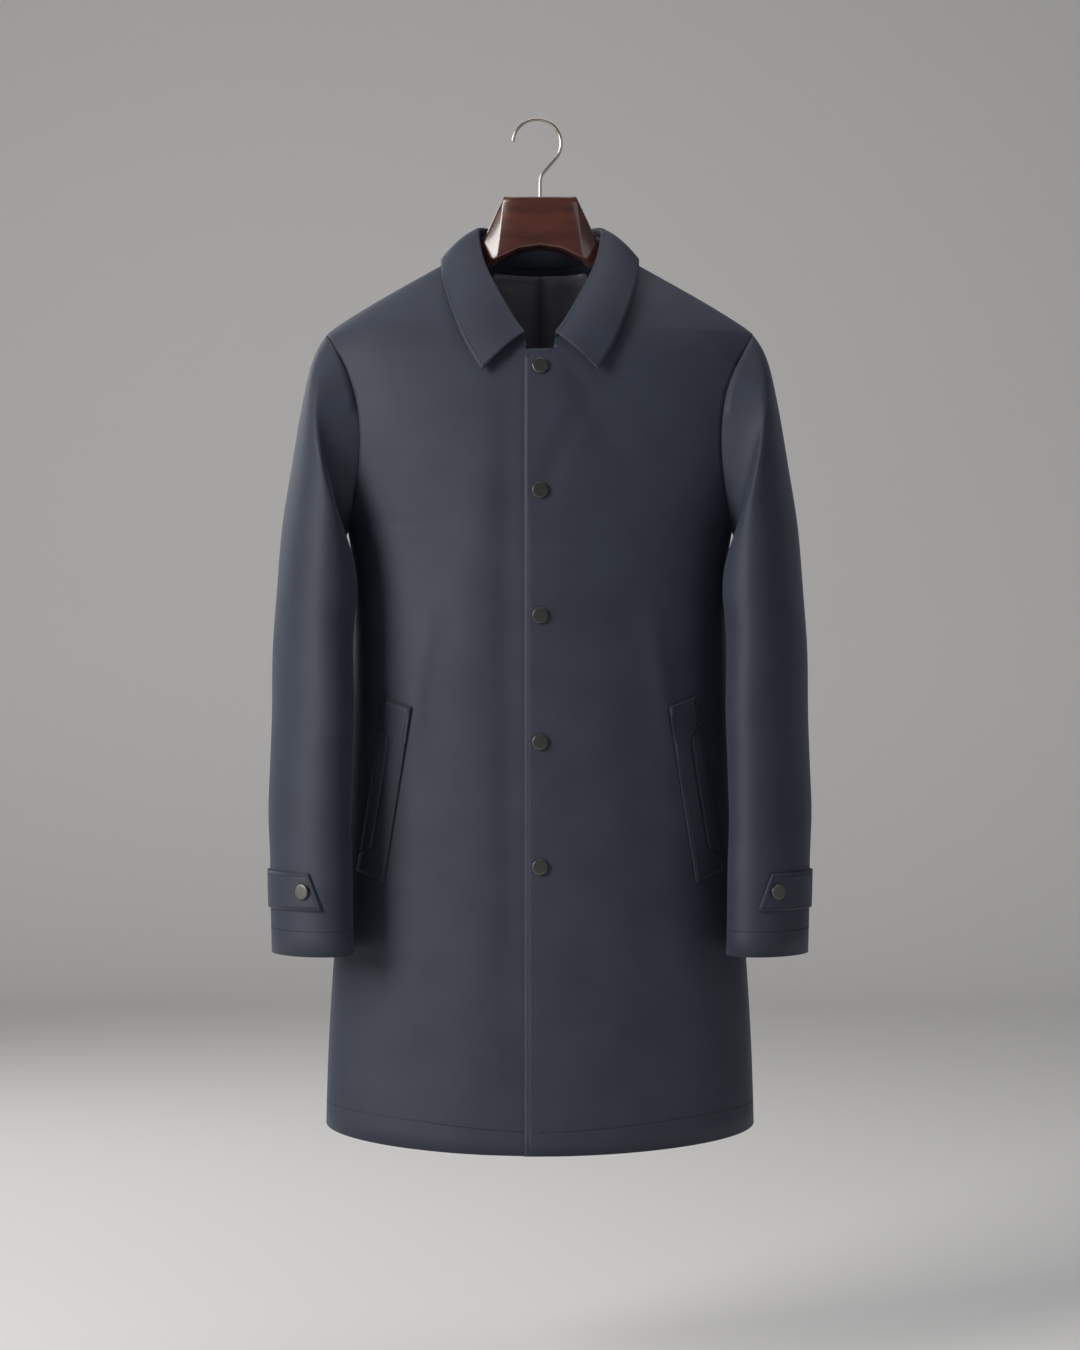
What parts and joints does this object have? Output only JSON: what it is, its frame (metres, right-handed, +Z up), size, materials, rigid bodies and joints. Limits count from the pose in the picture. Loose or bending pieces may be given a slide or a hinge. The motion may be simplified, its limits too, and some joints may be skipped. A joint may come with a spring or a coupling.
{
  "type": "mac coat on a wooden hanger",
  "caption": "Single-breasted navy mac coat with shirt collar, slanted welt pockets and cuff tabs, hanging on a dark wooden hanger with a steel hook.",
  "frame": {"origin": "underside of the hook's arc, straight above its stem", "axes": "+Z up, the coat's front faces -Y, the wearer's left is +X"},
  "size_m": [0.5792, 0.2345, 1.1019],
  "materials": {
    "shell_cloth": "fine navy gabardine with a soft sheen",
    "lining": "grey satin",
    "snap_metal": "gunmetal, satin",
    "hanger_wood": "dark red-brown lacquer",
    "hook_steel": "warm satin steel"
  },
  "bodies": {
    "root": {"front_left": "shell_cloth", "front_right": "shell_cloth", "back": "shell_cloth", "sleeve_left": "shell_cloth", "sleeve_right": "shell_cloth", "cuff_tab_left": "shell_cloth", "cuff_tab_right": "shell_cloth", "pocket_welt_left": "shell_cloth", "pocket_jet_left": "shell_cloth", "pocket_welt_right": "shell_cloth", "pocket_jet_right": "shell_cloth", "collar": "shell_cloth", "collar_stand": "shell_cloth", "lining_left": "lining", "lining_right": "lining", "snap_1": "snap_metal", "snap_2": "snap_metal", "snap_3": "snap_metal", "snap_4": "snap_metal", "snap_5": "snap_metal", "cuff_snap_left": "snap_metal", "cuff_snap_right": "snap_metal", "hanger": "hanger_wood", "hook": "hook_steel"}
  },
  "joints": []
}
